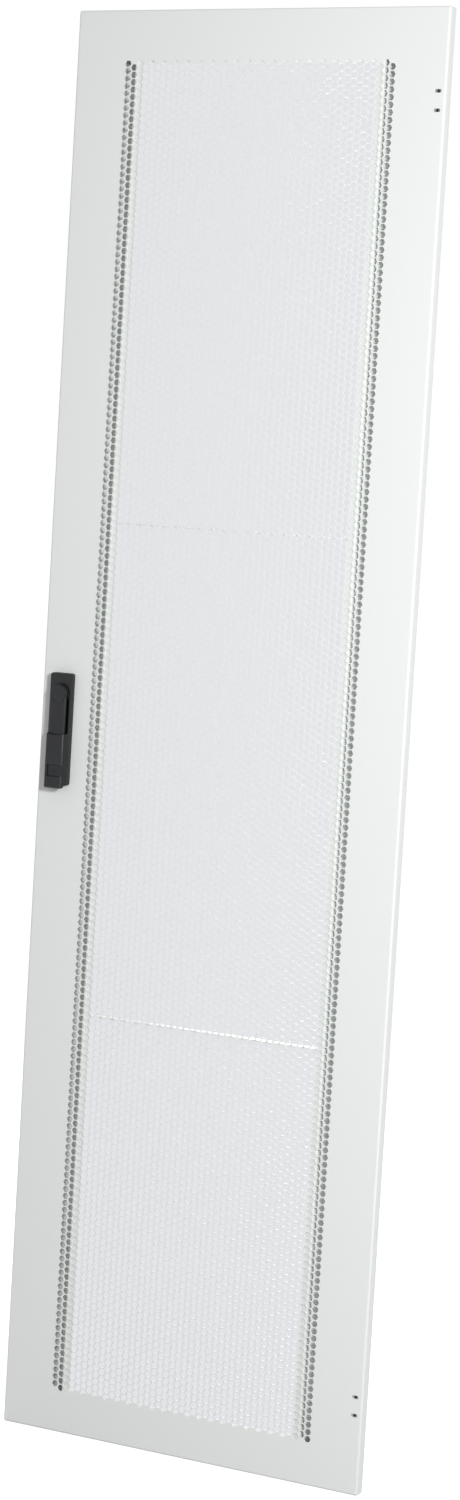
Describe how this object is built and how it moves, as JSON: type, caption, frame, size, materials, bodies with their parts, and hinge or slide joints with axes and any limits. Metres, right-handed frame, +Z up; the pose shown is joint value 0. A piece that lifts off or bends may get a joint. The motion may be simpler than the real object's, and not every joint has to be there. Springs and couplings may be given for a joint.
{
  "type": "perforated rack door",
  "caption": "Tall folded steel rack door with a hexagonal perforated field, rear stiffeners, lift-off hinge bores and a black swing handle with key lock.",
  "frame": {"origin": "middle of the bracket on the axis of the lower hinge bore", "axes": "+Z up along the hinge axis, -Y out of the front of the door, +X from the lock edge to the hinge edge"},
  "size_m": [0.6105, 0.0514, 2.13],
  "materials": {
    "painted_steel": "fine powder coat, semi-matt light grey",
    "zinc_steel": "zinc plated",
    "bright_steel": "turned",
    "die_cast": "die cast",
    "nylon": "moulded",
    "black_polyamide": "fine moulded grain",
    "seal_rubber": "matt",
    "nickel_brass": "satin"
  },
  "bodies": {
    "door": {"door_skin": "painted_steel", "stile_left": "painted_steel", "stile_right": "painted_steel", "rail_top": "painted_steel", "rail_bottom": "painted_steel", "cross_bar_upper": "painted_steel", "cross_bar_lower": "painted_steel", "hinge_bracket_top": "zinc_steel", "hinge_bracket_bottom": "zinc_steel", "hinge_bush_top": "nylon", "hinge_bush_bottom": "nylon", "earth_stud": "bright_steel", "earth_nut": "bright_steel", "handle_housing": "black_polyamide", "handle_seal": "seal_rubber", "lock_cylinder": "nickel_brass", "clamp_plate": "zinc_steel", "clamp_screws": "bright_steel"},
    "spindle": {"spindle": "die_cast", "lever_pin": "bright_steel", "cam": "zinc_steel", "cam_washer": "bright_steel", "cam_screw": "bright_steel"},
    "handle_lever": {"lever": "black_polyamide"},
    "shutter": {"lock_shutter": "black_polyamide"},
    "key_plug": {"lock_plug": "nickel_brass", "lock_finger": "zinc_steel"}
  },
  "joints": [
    {"name": "handle_turn", "type": "hinge", "parent": "door", "child": "spindle", "pos_m": [-0.5505, -0.011, 0.9896], "axis": [0, -1, 0], "range_deg": [0, 90]},
    {"name": "lever_lift", "type": "hinge", "parent": "spindle", "child": "handle_lever", "pos_m": [-0.5505, -0.0262, 0.9956], "axis": [-1, 0, 0], "range_deg": [0, 30]},
    {"name": "shutter_slide", "type": "slide", "parent": "door", "child": "shutter", "axis": [0, 0, 1], "range_m": [0, 0.018]},
    {"name": "plug_turn", "type": "hinge", "parent": "door", "child": "key_plug", "pos_m": [-0.5505, -0.011, 0.874], "axis": [0, -1, 0], "range_deg": [0, 90]}
  ]
}
